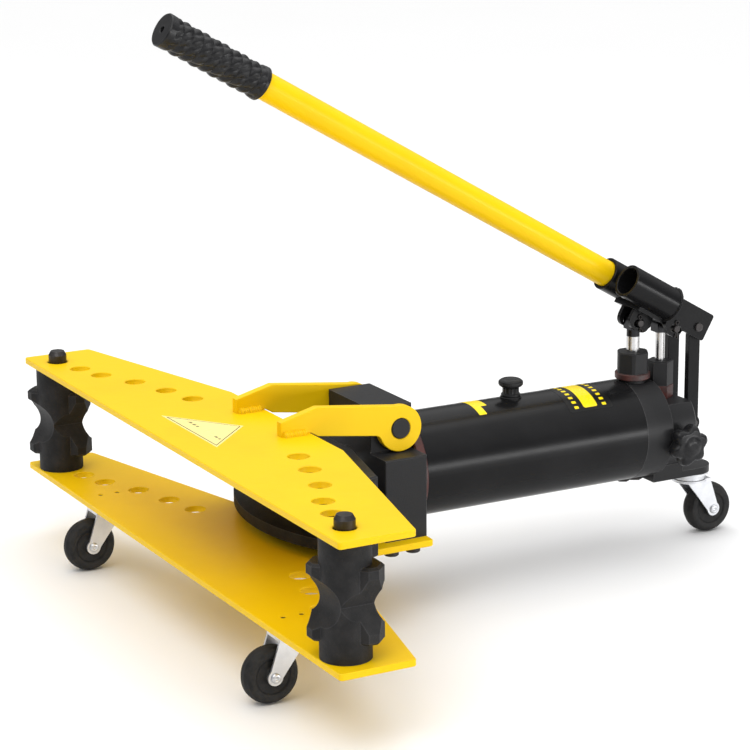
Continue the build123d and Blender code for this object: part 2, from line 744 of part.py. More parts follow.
with BuildPart() as lever_web:
    with BuildSketch(lever_plane(-cheek_inner_x)):
        with Locations((51, -15.5)):
            Rectangle(42, 15)
    extrude(amount=2 * cheek_inner_x)
    for x in (socket_spread, -socket_spread):
        with BuildSketch(lever_section(x)):
            Circle(socket_radius + 0.03)
        extrude(amount=socket_length + 0.1, mode=Mode.SUBTRACT)
    with BuildSketch(lever_plane(-cheek_inner_x)):
        with Locations((70.2, -8.5)):
            Rectangle(4, 29)
    extrude(amount=2 * cheek_inner_x)
    for inner_x in (ear_inner_x, -ear_inner_x - ear_thickness):
        with BuildSketch(lever_plane(inner_x)):
            with Locations(large_pin_local):
                SlotCenterToCenter(10, 18)
            with Locations((large_pin_local[0], large_pin_local[1] + 7)):
                Rectangle(29, 14)
            slot_shift = (-ear_slot_lead * math.cos(rise), -ear_slot_lead * math.sin(rise))
            with Locations((large_pin_local[0] + slot_shift[0], large_pin_local[1] + slot_shift[1])):
                SlotCenterToCenter(
                    ear_slot_travel,
                    2 * plunger_pin_radius + 1.6,
                    rotation=math.degrees(rise),
                    mode=Mode.SUBTRACT,
                )
        extrude(amount=ear_thickness)
save(lever_web, "lever_web")

for name, inner_x in (("cheek_right", cheek_inner_x), ("cheek_left", -cheek_inner_x - cheek_thickness)):
    with BuildPart() as cheek:
        with BuildSketch(lever_plane(inner_x)) as cheek_profile:
            with BuildLine():
                Polyline(
                    (68.3, 12),
                    (125, 12),
                    (125, -20),
                    (93, -20),
                    (91, -31.5),
                    (76, -31.5),
                    (68.3, -24),
                    close=True,
                )
            make_face()
            fillet(cheek_profile.vertices().filter_by(lambda v: v.X > 70), 3)
            with Locations(fulcrum_local):
                Circle(link_pin_radius + 0.06, mode=Mode.SUBTRACT)
            with Locations(small_pin_local):
                SlotCenterToCenter(6.8, 2 * plunger_pin_radius + 1.6, mode=Mode.SUBTRACT)
        extrude(amount=cheek_thickness)
    save(cheek, name)

with BuildPart() as fulcrum_pin:
    reach = cheek_inner_x + cheek_thickness + 3
    with BuildSketch(Plane.YZ.offset(-reach)):
        with Locations((fulcrum_y, fulcrum_z)):
            Circle(link_pin_radius)
    extrude(amount=2 * reach)
    chamfer(fulcrum_pin.faces().filter_by(Axis.X).edges(), 0.6)
save(fulcrum_pin, "fulcrum_pin")

# ---- handle in the left socket ----
handle_inside = 62.0
with BuildPart() as handle_tube:
    with BuildSketch(lever_section(-socket_spread, -handle_reach)):
        Circle(handle_radius)
        Circle(handle_radius - 2.4, mode=Mode.SUBTRACT)
    extrude(amount=handle_reach + handle_inside)
save(handle_tube, "handle_tube")

grip_wall = 3.6
grip_end = 5.0
with BuildPart() as handle_grip:
    with BuildSketch(lever_section(-socket_spread, -handle_reach - grip_end)):
        Circle(handle_radius + grip_wall)
    extrude(amount=grip_length + grip_end)
    with BuildSketch(lever_section(-socket_spread, -handle_reach)):
        Circle(handle_radius + 0.02)
    extrude(amount=grip_length, mode=Mode.SUBTRACT)
    with BuildSketch(lever_section(-socket_spread, -handle_reach - grip_end)):
        Circle(3.5)
    extrude(amount=grip_end, mode=Mode.SUBTRACT)
    chamfer(handle_grip.edges().filter_by(GeomType.CIRCLE).group_by(SortBy.LENGTH)[-1], 1.0)
save(handle_grip, "handle_grip")

# ---- release valve ----
knob_inner_x = 58.0
knob_thickness = 18.0
with BuildPart() as release_stem:
    with BuildSketch(Plane.YZ.offset(22)):
        with Locations((valve_y, valve_z)):
            Circle(6.0)
    extrude(amount=knob_inner_x - 22)
    chamfer(release_stem.faces().sort_by(Axis.X)[0].edges(), 3.0)
save(release_stem, "release_stem")

with BuildPart() as valve_gland:
    with BuildSketch(Plane.YZ.offset(46.1)):
        with Locations((valve_y, valve_z)):
            RegularPolygon(12.5, 6)
            Circle(6.1, mode=Mode.SUBTRACT)
    extrude(amount=7.5)
save(valve_gland, "valve_gland")

with BuildPart() as release_knob:
    with BuildSketch(Plane.YZ.offset(knob_inner_x)) as knob_star:
        with Locations((valve_y, valve_z)):
            Circle(16.5)
            with PolarLocations(18.3, 6, start_angle=15):
                Circle(6.2)
        inner_corners = knob_star.vertices()
        fillet(inner_corners, 2.5)
    extrude(amount=knob_thickness)
    fillet(release_knob.faces().filter_by(Axis.X).edges(), 2.0)
    with BuildSketch(Plane.YZ.offset(knob_inner_x + knob_thickness - 0.5)):
        with Locations((valve_y, valve_z)):
            Circle(9)
    extrude(amount=3)
    fillet(release_knob.faces().sort_by(Axis.X)[-1].edges(), 1.5)
save(release_knob, "release_knob")

# ---- casters: mount with its race, fork, axle, wheel ----
race_height = 9.0
mount_radius = 22.5
leg_thickness = 2.5
fork_half_width = wheel_width / 2 + 3.5
for place, x, swivel_y, way in (
    ("front_right", front_caster_x, front_swivel_y, -1),
    ("front_left", -front_caster_x, front_swivel_y, -1),
    ("rear", 0.0, rear_swivel_y, 1),
):
    axle_y = swivel_y + way * caster_trail
    with BuildPart() as mount:
        with BuildSketch(Plane.XY.offset(bottom_plate_z - 3)):
            with Locations((x, swivel_y)):
                Circle(mount_radius)
        extrude(amount=3)
        with BuildSketch(Plane.XY.offset(bottom_plate_z - race_height)):
            with Locations((x, swivel_y)):
                Circle(mount_radius - 4)
        extrude(amount=race_height - 3)
        chamfer(mount.faces().sort_by(Axis.Z)[-1].edges(), 0.6)
        with BuildSketch(Plane.XY.offset(bottom_plate_z - race_height - 4)):
            with Locations((x, swivel_y)):
                Circle(5)
        extrude(amount=5)
    save(mount, "caster_mount_" + place)

    with BuildPart() as fork:
        crown_top = bottom_plate_z - race_height - 0.4
        with BuildSketch(Plane.XY.offset(crown_top - 3)):
            with Locations((x, swivel_y)):
                Circle(mount_radius - 2.5)
            with Locations((x, swivel_y + way * 9)):
                Rectangle(2 * fork_half_width, 24)
            with Locations((x, swivel_y)):
                Circle(5.1, mode=Mode.SUBTRACT)
        extrude(amount=3)
        for leg_x in (x + fork_half_width - leg_thickness, x - fork_half_width):
            with BuildSketch(Plane.YZ.offset(leg_x)) as leg:
                with BuildLine():
                    Polyline(
                        (swivel_y - way * 10, crown_top - 3),
                        (swivel_y + way * 21, crown_top - 3),
                        (axle_y + way * 7, wheel_radius),
                        (axle_y, wheel_radius - 7),
                        (axle_y - way * 6.5, wheel_radius - 3),
                        close=True,
                    )
                make_face()
                with Locations((axle_y, wheel_radius)):
                    Circle(8)
                    Circle(4.05, mode=Mode.SUBTRACT)
            extrude(amount=leg_thickness)
    save(fork, "caster_fork_" + place)

    with BuildPart() as axle:
        with BuildSketch(Plane.YZ.offset(x - fork_half_width - 0.1)):
            with Locations((axle_y, wheel_radius)):
                Circle(4.0)
        extrude(amount=2 * fork_half_width + 0.2)
        for head_x in (x - fork_half_width - 3.1, x + fork_half_width + 0.1):
            with BuildSketch(Plane.YZ.offset(head_x)):
                with Locations((axle_y, wheel_radius)):
                    Circle(5.5)
            extrude(amount=3)
    save(axle, "caster_axle_" + place)

    with BuildPart() as wheel:
        with BuildSketch(Plane.YZ.offset(x - wheel_width / 2)):
            with Locations((axle_y, wheel_radius)):
                Circle(wheel_radius)
        extrude(amount=wheel_width)
        fillet(wheel.faces().filter_by(Axis.X).edges(), 4.0)
        with BuildSketch(Plane.YZ.offset(x - wheel_width / 2)):
            with Locations((axle_y, wheel_radius)):
                Circle(4.06)
        extrude(amount=wheel_width, mode=Mode.SUBTRACT)
    save(wheel, "caster_wheel_" + place)

with BuildPart() as caster_screws:
    with BuildSketch(Plane.XY.offset(bottom_plate_z)):
        with Locations(*caster_screw_places):
            Circle(caster_screw_radius)
    extrude(amount=plate_thickness - 1)
save(caster_screws, "caster_screws")
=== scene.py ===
# %% [markdown]
# # A hand-pumped hydraulic pipe bender
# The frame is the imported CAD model: every part at its real place, in metres, on bodies that move
# with the joints. This script gives those parts their finishes, and builds by mesh code the pieces
# whose looks need more shape than the CAD has: the grip, the wheels, the filler plug, the knob, the
# welds, the split pins and the decals.

# %% Load the frame
import json
import math

import bmesh
import bpy
from mathutils import Matrix, Vector


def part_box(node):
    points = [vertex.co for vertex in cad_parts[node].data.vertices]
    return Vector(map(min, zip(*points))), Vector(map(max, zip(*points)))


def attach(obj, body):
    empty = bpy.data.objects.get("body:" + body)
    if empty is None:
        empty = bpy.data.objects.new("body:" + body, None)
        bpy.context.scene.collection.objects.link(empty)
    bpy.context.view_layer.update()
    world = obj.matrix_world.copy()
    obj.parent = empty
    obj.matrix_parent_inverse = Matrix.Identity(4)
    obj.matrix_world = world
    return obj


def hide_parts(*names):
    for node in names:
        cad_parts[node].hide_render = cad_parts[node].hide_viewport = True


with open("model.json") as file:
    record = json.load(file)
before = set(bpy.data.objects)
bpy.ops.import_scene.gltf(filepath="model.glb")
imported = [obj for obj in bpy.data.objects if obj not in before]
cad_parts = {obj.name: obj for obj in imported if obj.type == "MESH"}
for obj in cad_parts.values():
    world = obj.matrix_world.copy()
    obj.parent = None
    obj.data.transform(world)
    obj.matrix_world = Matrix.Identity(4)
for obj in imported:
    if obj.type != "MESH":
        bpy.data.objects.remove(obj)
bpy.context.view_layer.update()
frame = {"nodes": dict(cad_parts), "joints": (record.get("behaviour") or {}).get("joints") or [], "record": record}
nodes = frame["nodes"]
joints = {joint["name"]: joint for joint in frame["joints"]}
mounts = {mount["name"]: mount for mount in frame["record"]["mounts"]}

# %% [markdown]
# ## The camera
# A product view from the front right corner, a little above the plates. A long lens keeps the
# wings from flaring. The camera is set by its place and by three angles: which way it faces, how
# far it looks down, and how far it leans. Each of them can then be changed alone.

# %% Camera
CAMERA_PLACE = Vector((2.314, -1.3549, 0.9359))
AZIMUTH, ELEVATION, ROLL = (math.radians(a) for a in (61.5, 14.7, -0.4))
LENS_MM = 122.24
SENSOR_MM = 36.0

forward = Vector((
    -math.sin(AZIMUTH) * math.cos(ELEVATION),
    math.cos(AZIMUTH) * math.cos(ELEVATION),
    -math.sin(ELEVATION),
))
level_right = Vector((math.cos(AZIMUTH), math.sin(AZIMUTH), 0))
level_up = level_right.cross(forward)
right = level_right * math.cos(ROLL) + level_up * math.sin(ROLL)
up = level_up * math.cos(ROLL) - level_right * math.sin(ROLL)

camera = bpy.data.objects.new("camera", bpy.data.cameras.new("camera"))
bpy.context.scene.collection.objects.link(camera)
camera_turn = Matrix((right, up, -forward)).transposed().to_4x4()
camera.matrix_world = Matrix.Translation(CAMERA_PLACE) @ camera_turn
camera.data.lens = LENS_MM
camera.data.sensor_width = SENSOR_MM
bpy.context.scene.camera = camera
print("camera looks along", [round(c, 3) for c in forward])

# %% [markdown]
# ## Floor and light
# A plain pale floor, and soft light from large area lamps, as in a product studio. The lamps are
# big so that the gloss paint shows wide soft bands and not small hot spots. The sky is bright
# overhead and dim near the horizon, or every black part would mirror it and turn grey: a tube looks
# round mainly through the reflection of a lamp that is as long as the tube. Seen directly, the sky
# is as pale as the floor, so a low view has a plain backdrop too. The plain view transform is
# used, because a film-like one would turn the strong yellow pale.


# %% Floor, sky and lamps
def linked(name, data):
    """Puts an object with this data in the scene."""
    made = bpy.data.objects.new(name, data)
    bpy.context.scene.collection.objects.link(made)
    return made


FLOOR_SIZE = 40.0
half = FLOOR_SIZE / 2
floor_corners = [(-half, -half, 0), (half, -half, 0), (half, half, 0), (-half, half, 0)]
floor_mesh = bpy.data.meshes.new("floor")
floor_mesh.from_pydata(floor_corners, [], [(0, 1, 2, 3)])
floor = linked("floor", floor_mesh)

# Height in the sky, 0 at the horizon and 1 overhead, and the brightness there.
SKY_RAMP = ((0.0, 0.10), (0.22, 0.16), (0.50, 0.95), (1.0, 1.75))
BACKDROP = 0.96
world = bpy.data.worlds.new("studio")
world.use_nodes = True
sky = world.node_tree
direction = sky.nodes.new("ShaderNodeTexCoord")
height = sky.nodes.new("ShaderNodeSeparateXYZ")
ramp = sky.nodes.new("ShaderNodeValToRGB")
while len(ramp.color_ramp.elements) < len(SKY_RAMP):
    ramp.color_ramp.elements.new(0.5)
for element, (rise, brightness) in zip(ramp.color_ramp.elements, SKY_RAMP):
    element.position = rise
    element.color = (brightness, brightness, brightness, 1.0)
sky.links.new(direction.outputs["Generated"], height.inputs[0])
sky.links.new(height.outputs["Z"], ramp.inputs[0])

# A Mix node set to colours takes its two colours at inputs 6 and 7, and gives one at output 2.
backdrop = sky.nodes.new("ShaderNodeMix")
backdrop.data_type = "RGBA"
backdrop.inputs[7].default_value = (BACKDROP, BACKDROP, BACKDROP, 1.0)
sky.links.new(sky.nodes.new("ShaderNodeLightPath").outputs["Is Camera Ray"], backdrop.inputs[0])
sky.links.new(ramp.outputs[0], backdrop.inputs[6])
sky.links.new(backdrop.outputs[2], sky.nodes["Background"].inputs["Color"])
bpy.context.scene.world = world
bpy.context.scene.view_settings.view_transform = "Standard"


def lamp(name, place, aim, size, power):
    """A large rectangular lamp at place, turned to aim."""
    light = bpy.data.lights.new(name, "AREA")
    light.shape = "RECTANGLE"
    light.size, light.size_y = size
    light.energy = power
    made = linked(name, light)
    made.location = place
    made.rotation_euler = (Vector(aim) - Vector(place)).to_track_quat("-Z", "Y").to_euler()


BENDER_MIDDLE = (0.0, 0.0, 0.15)
lamp("key_lamp", (1.2, -1.6, 2.6), BENDER_MIDDLE, (1.6, 1.6), 23)
lamp("top_lamp", (-0.6, 0.5, 2.6), BENDER_MIDDLE, (2.4, 1.2), 12)
lamp("side_lamp", (2.8, 1.6, 0.22), BENDER_MIDDLE, (2.4, 0.36), 40)

# %% [markdown]
# ## Writing shaders as sums
# A finish is easiest to read as arithmetic: "base colour, darker where the noise is high". So one
# small class wraps a socket and lets + - * / add the Math nodes, and another adds any other node.
# The shade method of a finish hands the results to the Principled shader's own sockets.


# %% Sockets that can be added up
class Value:
    """An output socket of a finish. + - * / on it add Math nodes."""

    def __init__(self, finish, socket):
        self.finish, self.socket = finish, socket

    def joined(self, operation, *terms):
        return self.finish.node("ShaderNodeMath", {"operation": operation}, dict(enumerate(terms)))

    def __add__(self, other):
        return self.joined("ADD", self, other)

    def __sub__(self, other):
        return self.joined("SUBTRACT", self, other)

    def __mul__(self, other):
        return self.joined("MULTIPLY", self, other)

    def __truediv__(self, other):
        return self.joined("DIVIDE", self, other)

    def __rsub__(self, other):
        return self.joined("SUBTRACT", other, self)

    __radd__, __rmul__ = __add__, __mul__

    def least(self, other):
        return self.joined("MINIMUM", self, other)

    def most(self, other):
        return self.joined("MAXIMUM", self, other)

    def above(self, threshold, soft):
        """0 below the threshold and 1 above it, with a soft step as wide as soft."""
        settings = {"interpolation_type": "SMOOTHSTEP"}
        ends = {0: self, 1: threshold - soft / 2, 2: threshold + soft / 2}
        return self.finish.node("ShaderNodeMapRange", settings, ends)


# %% A finish under construction
class Finish:
    """A material with a Principled shader, and one method that adds any node to it."""

    def __init__(self, name, slot):
        self.material = bpy.data.materials.new(name)
        self.material.use_nodes = True
        self.slot = slot
        self.tree = self.material.node_tree
        self.place = self.node("ShaderNodeTexCoord", output="Object")

    def node(self, kind, settings=None, inputs=None, output=0):
        made = self.tree.nodes.new(kind)
        for key, setting in (settings or {}).items():
            setattr(made, key, setting)
        for key, value in (inputs or {}).items():
            self.feed(made.inputs[key], value)
        return Value(self, made.outputs[output])

    def feed(self, socket, value):
        if isinstance(value, Value):
            self.tree.links.new(value.socket, socket)
        else:
            socket.default_value = value

    def shade(self, **sockets):
        """Feeds the Principled shader: base_color=... goes to its Base Color, and so on."""
        for key, value in sockets.items():
            name = key.replace("_", " ").title().replace("Ior", "IOR")
            self.feed(self.tree.nodes["Principled BSDF"].inputs[name], value)
        return self

    def noise(self, size, detail=3.0, rough=0.55, where=None):
        """Cloudy noise from 0 to 1 whose blobs are about size metres across."""
        inputs = {"Vector": where or self.place, "Scale": 1 / size}
        inputs.update({"Detail": detail, "Roughness": rough})
        return self.node("ShaderNodeTexNoise", {}, inputs)

    def stretched(self, x, y, z):
        """Places multiplied along each axis, for grain that runs one way."""
        factors = {0: self.place, 1: (x, y, z)}
        return self.node("ShaderNodeVectorMath", {"operation": "MULTIPLY"}, factors)

    def mix(self, factor, first, second):
        """A colour that goes from first to second as factor goes from 0 to 1."""
        colours = {0: factor, 6: first, 7: second}
        return self.node("ShaderNodeMix", {"data_type": "RGBA"}, colours, output=2)

    def split(self):
        """The X, Y and Z of the place, as three values."""
        made = self.tree.nodes.new("ShaderNodeSeparateXYZ")
        self.feed(made.inputs[0], self.place)
        return [Value(self, made.outputs[axis]) for axis in "XYZ"]

    def edges(self, width, gain=6.0):
        """0 on flat and gently curved skin, up to 1 on edges, over about width metres."""
        rounded = self.node("ShaderNodeBevel", {"samples": 4}, {"Radius": width})
        skin = self.node("ShaderNodeNewGeometry", output="Normal")
        facing = {0: rounded, 1: skin}
        agree = self.node("ShaderNodeVectorMath", {"operation": "DOT_PRODUCT"}, facing, "Value")
        return ((1 - agree) * gain).least(1.0)

    def bump(self, height, depth, strength=1.0):
        """A normal that rises by depth metres where height is 1."""
        inputs = {"Strength": strength, "Distance": depth, "Height": height}
        return self.node("ShaderNodeBump", {}, inputs)


def colour(red, green, blue):
    """An RGB colour with full alpha, as a colour socket wants it."""
    return (red, green, blue, 1.0)


print("shader tools ready")

# %% [markdown]
# ## Paint
# The plates, arms and handle are sprayed with a thick yellow machine enamel, and the tank and
# lever with gloss black. Enamel has a faint orange peel, so a fine noise feeds a bump only a few
# hundredths of a millimetre deep. It is slightly thinner on sharp edges, where a Bevel node finds
# the edge, and dust makes its gloss uneven, which is what keeps a big plate from looking plastic.


# %% Sprayed enamel
CLOUD_SIZE, GRIME_SIZE, CHIP_WIDTH = 0.09, 0.012, 0.0009
PEEL_SIZE, FINE_PEEL_SIZE = 0.0022, 0.0007


def enamel(name, slot, fresh, dusty, worn, gloss, peel=0.00003, chips=0.55, shine=0.2):
    """Sprayed paint: fresh colour, a dustier shade of it, what shows on chipped edges, roughness."""
    finish = Finish(name, slot)
    cloud = finish.noise(CLOUD_SIZE, 4.0)
    grime = finish.noise(GRIME_SIZE, 5.0, 0.7)
    edge = finish.edges(CHIP_WIDTH)
    chipped = (edge * (grime + 0.25)).above(chips, 0.12)
    body = finish.mix(cloud.above(0.56, 0.3) * 0.55, fresh, dusty)
    peeled = finish.noise(PEEL_SIZE, 2.0) * 0.8 + finish.noise(FINE_PEEL_SIZE, 1.0) * 0.2
    return finish.shade(
        base_color=finish.mix(chipped, body, worn),
        roughness=gloss + grime * 0.10 + chipped * 0.2,
        normal=finish.bump(peeled - chipped * 0.5, peel),
        specular_ior_level=shine,
    )


yellow_enamel = enamel(
    "yellow_enamel", "yellow_paint", colour(0.86, 0.555, 0.002), colour(0.80, 0.50, 0.003),
    colour(0.55, 0.36, 0.03), gloss=0.32, shine=0.15,
)
black_enamel = enamel(
    "black_enamel", "gloss_black", colour(0.0075, 0.0075, 0.008), colour(0.013, 0.013, 0.014),
    colour(0.06, 0.06, 0.062), gloss=0.19, shine=0.13,
)
print("enamels:", yellow_enamel.material.name, black_enamel.material.name)

# %% [markdown]
# The head block and the pump's rear casting are milled and cast iron under a thin satin black. The
# bump is coarser than on enamel, since the casting's own skin shows through. The flange and the
# seal washers keep a brownish red primer under a little black overspray.


# %% Painted castings
satin_casting = enamel(
    "satin_casting", "satin_black", colour(0.018, 0.018, 0.019), colour(0.030, 0.030, 0.031),
    colour(0.11, 0.11, 0.11), gloss=0.34, peel=0.00012, chips=0.5, shine=0.14,
)
OVERSPRAY_SIZE, SPECKLE_SIZE = 0.018, 0.0016
RED_BROWN, BLACKENED_RED = colour(0.075, 0.012, 0.008), colour(0.016, 0.011, 0.011)
red_primer = Finish("red_primer", "red_primer")
overspray = red_primer.noise(OVERSPRAY_SIZE, 5.0, 0.65).above(0.5, 0.35)
speckle = red_primer.noise(SPECKLE_SIZE, 2.0)
red_primer.shade(
    base_color=red_primer.mix(overspray * 0.75, RED_BROWN, BLACKENED_RED),
    roughness=0.40 + speckle * 0.18,
    normal=red_primer.bump(speckle, 0.00008),
)
print("castings:", satin_casting.material.name, red_primer.material.name)

# %% [markdown]
# ## Blackened castings
# The dies and the bending shoe are cast, shot-blasted and blackened, not painted. They are rough
# all over, with a grainy skin and shallow pits, and the corners that rub on pipe are rubbed to a
# duller grey. Two noises make the skin: a fine grain everywhere, and a Voronoi cell pattern whose
# deepest cells are the pits.

# %% Blackened cast iron
IRON_GRAIN, IRON_PATCHES, RUBBED_WIDTH = 0.0011, 0.022, 0.0016
PITS_PER_METRE, SKIN_DEPTH = 420.0, 0.00022
SCALE_BLACK, SCALE_GREY = colour(0.009, 0.009, 0.0095), colour(0.019, 0.018, 0.018)
RUBBED_GREY = colour(0.10, 0.10, 0.105)
iron = Finish("blackened_iron", "black_cast")
grain = iron.noise(IRON_GRAIN, 3.0, 0.7)
patches = iron.noise(IRON_PATCHES, 5.0, 0.6)
cells = iron.node("ShaderNodeTexVoronoi", {}, {"Vector": iron.place, "Scale": PITS_PER_METRE})
pits = 1 - cells.above(0.22, 0.16)
rubbed = (iron.edges(RUBBED_WIDTH, 5.0) * (patches + 0.35)).least(1.0)
scale_skin = iron.mix(patches.above(0.52, 0.3), SCALE_BLACK, SCALE_GREY)
iron.shade(
    base_color=iron.mix(rubbed * 0.7, scale_skin, RUBBED_GREY),
    roughness=0.50 + grain * 0.2 - rubbed * 0.12,
    metallic=rubbed * 0.5,
    specular_ior_level=0.22,
    normal=iron.bump(grain * 0.6 - pits * 0.8, SKIN_DEPTH),
)
print("blackened iron has pits about", round(1000 / PITS_PER_METRE, 1), "mm apart")

# %% [markdown]
# ## Bare and plated steel
# Four steels: blackened pins, chromed plungers, turned inner parts, and zinc-plated pressings on
# the casters. Their grain is a noise whose places are multiplied along the upright axis: by less
# than one on the blackened steel, which draws it out into streaks, and by more on the chrome, which
# squeezes it into rings. The other two keep an even grain. The plungers are only ground bright
# where they slide, so above a height on them their forged heads are left black.


# %% Steels
STREAKED, RINGED, EVEN = (1, 1, 0.2), (1, 1, 6), (1, 1, 1)
STREAK_SIZE, HANDLED_SIZE, SHARP_EDGE_WIDTH = 0.0012, 0.015, 0.0007


def steel(name, slot, light, dark, polish, grain_stretch, scratch_depth, shine=1.0):
    """Bare or plated steel: two shades, roughness, and a grain stretched along the axes given."""
    finish = Finish(name, slot)
    streaks = finish.noise(STREAK_SIZE, 3.0, 0.6, where=finish.stretched(*grain_stretch))
    handled = finish.noise(HANDLED_SIZE, 4.0, 0.6)
    edge = finish.edges(SHARP_EDGE_WIDTH, 4.0)
    tone = finish.mix(handled.above(0.5, 0.5) * 0.7 + streaks * 0.3, light, dark)
    bright = tuple(min(1.0, channel * 1.5 + 0.04) for channel in light[:3]) + (1.0,)
    return finish.shade(
        base_color=finish.mix(edge * 0.5, tone, bright),
        metallic=shine,
        roughness=polish + streaks * 0.12 + handled * 0.08,
        normal=finish.bump(streaks, scratch_depth),
    )


dark_steel = steel(
    "blackened_steel", "dark_steel", colour(0.055, 0.052, 0.052), colour(0.025, 0.022, 0.022),
    0.30, STREAKED, 0.00003, shine=0.8,
)
chrome = steel(
    "ground_chrome", "bright_steel", colour(0.66, 0.66, 0.67), colour(0.50, 0.49, 0.48),
    0.12, RINGED, 0.00001,
)
turned_steel = steel(
    "turned_steel", "machined_steel", colour(0.50, 0.49, 0.48), colour(0.34, 0.33, 0.32),
    0.26, EVEN, 0.00002,
)
zinc = steel(
    "zinc_plate", "zinc", colour(0.70, 0.71, 0.73), colour(0.56, 0.57, 0.60),
    0.24, EVEN, 0.00002, shine=0.85,
)

HEADS_FROM_Z, HEADS_FADE = 0.2475, 0.0006
_, _, rod_z = chrome.split()
blackened = rod_z.above(HEADS_FROM_Z, HEADS_FADE)
chrome_colour = chrome.tree.nodes["Principled BSDF"].inputs["Base Color"]
plain_chrome = Value(chrome, chrome_colour.links[0].from_socket)
chrome.shade(base_color=chrome.mix(blackened, plain_chrome, colour(0.03, 0.03, 0.032)))
print("steels:", ", ".join(f.material.name for f in (dark_steel, chrome, turned_steel, zinc)))

# %% [markdown]
# ## Rubber and plastic
# Wheel rubber is matt with greyish scuffs from the floor. The grip is a softer, shinier rubber. The
# knob and the filler cap are moulded plastic with a spark-eroded texture, a fine even grain. They
# and the seals share one recipe, with different scuffs, grain and gloss.


# %% Moulded finishes
SCUFF_SIZE = 0.010


def moulded(name, slot, body, scuffed, gloss, grain_size, grain_depth, scuffs):
    """A moulded skin: body colour, scuff colour, roughness, grain size and depth, share of scuffs."""
    finish = Finish(name, slot)
    fine = finish.noise(grain_size, 2.0, 0.5)
    worn = finish.noise(SCUFF_SIZE, 6.0, 0.75).above(1 - scuffs, 0.25)
    return finish.shade(
        base_color=finish.mix(worn, body, scuffed),
        roughness=gloss + worn * 0.18 + fine * 0.08,
        specular_ior_level=0.2,
        normal=finish.bump(fine, grain_depth),
    )


wheel_rubber = moulded(
    "wheel_rubber", "wheel_rubber", colour(0.009, 0.009, 0.0095), colour(0.024, 0.023, 0.022),
    0.50, 0.0008, 0.00006, 0.5,
)
grip_rubber = moulded(
    "grip_rubber", "grip_rubber", colour(0.012, 0.012, 0.013), colour(0.022, 0.022, 0.023),
    0.26, 0.0009, 0.00003, 0.45,
)
black_plastic = moulded(
    "black_plastic", "black_plastic", colour(0.010, 0.010, 0.011), colour(0.020, 0.020, 0.021),
    0.24, 0.0006, 0.00002, 0.4,
)
seal_rubber = moulded(
    "seal_rubber", "seal_rubber", colour(0.015, 0.015, 0.015), colour(0.03, 0.03, 0.03),
    0.45, 0.0010, 0.00003, 0.4,
)
moulded_finishes = (wheel_rubber, grip_rubber, black_plastic, seal_rubber)
print("moulded:", ", ".join(f.material.name for f in moulded_finishes))

# %% [markdown]
# ## The printed triangle
# A pale sticker lies on the top plate with a thin dark line round it. It could be cut from three
# strips of mesh, but the line is ink, with no thickness, so it is drawn in the shader: each side of
# the triangle is a straight line, and the ink is wherever the nearest side is close. Two short rows
# of plain dashes stand for print, with no lettering.

# %% Sticker ink
decal = Finish("decal_print", "decal_print")
decal_low, decal_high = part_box("decal_plate")
decal_x, decal_y, _ = decal.split()
decal_corners = [
    Vector((decal_low.x, decal_low.y)),
    Vector((decal_high.x, decal_low.y)),
    max((Vector(v.co[:2]) for v in nodes["decal_plate"].data.vertices), key=lambda corner: corner.y),
]
INK_INSET, INK_WIDTH, INK_FADE = 0.0022, 0.0011, 0.0003
nearest = None
for start, end in zip(decal_corners, decal_corners[1:] + decal_corners[:1]):
    run = (end - start).normalized()
    inward = Vector((-run.y, run.x))
    distance = decal_x * inward.x + decal_y * inward.y - start.dot(inward)
    nearest = distance if nearest is None else nearest.least(distance)
ink = nearest.above(INK_INSET, INK_FADE) - nearest.above(INK_INSET + INK_WIDTH, INK_FADE)

# Each row: its distance from the sticker's front side, and where it starts and ends.
DASH_ROWS = ((0.014, -0.046, -0.020), (0.014, 0.020, 0.034))
DASH_PITCH, DASH_HEIGHT, DASH_FADE = 0.009, 0.003, 0.0004
GAP_SHARE, GAP_FADE, DASH_INK = 0.35, 0.08, 0.8
decal_rise = decal_y - decal_low.y
decal_beat = decal_x / DASH_PITCH
dashed = decal_beat.joined("FRACT", decal_beat).above(GAP_SHARE, GAP_FADE)
for row_y, row_start, row_end in DASH_ROWS:
    in_row = decal_rise.above(row_y, DASH_FADE) - decal_rise.above(row_y + DASH_HEIGHT, DASH_FADE)
    in_run = decal_x.above(row_start, DASH_FADE) - decal_x.above(row_end, DASH_FADE)
    ink = ink.most(in_row * in_run * dashed * DASH_INK)
decal.shade(
    base_color=decal.mix(ink, colour(0.96, 0.83, 0.30), colour(0.05, 0.035, 0.01)),
    roughness=0.22 + decal.noise(0.02) * 0.12,
)
print("sticker corners", [tuple(round(c, 3) for c in corner) for corner in decal_corners])

# %% [markdown]
# ## Finishes on the CAD parts
# Each part of the record names a finish slot, so the parts are painted by looking that slot up, and
# nothing is listed twice. The parts keep the meshes and the shading that they are loaded with.

# %% Paint the parts
finishes = {
    finish.slot: finish.material
    for finish in (
        yellow_enamel, black_enamel, satin_casting, red_primer, iron, dark_steel, chrome,
        turned_steel, zinc, wheel_rubber, grip_rubber, black_plastic, seal_rubber, decal,
    )
}
for part in frame["record"]["subparts"]:
    data = nodes[part["node"]].data
    data.materials.clear()
    data.materials.append(finishes[part["material_slot"]])

floor_finish = Finish("pale_floor", "")
floor_finish.shade(base_color=colour(0.86, 0.86, 0.86), roughness=0.6 + floor_finish.noise(0.5) * 0.1)
floor.data.materials.append(floor_finish.material)

# %% [markdown]
# ## Tools for round pieces
# Most of the detailed pieces are turned: a wheel, a rivet, a cap, a knob. A lathe is a loop over
# angles that places the same profile again and again. The profile is a list of radius and distance
# along the axis, and a ripple can push the radius in and out with the angle, which gives flutes,
# lobes and bumps for the cost of one more function.


# %% Measuring and turning
# Edges of a made piece that are sharper than this stay crisp, and the rest is shaded smooth.
SHARP_ANGLE = math.radians(30)


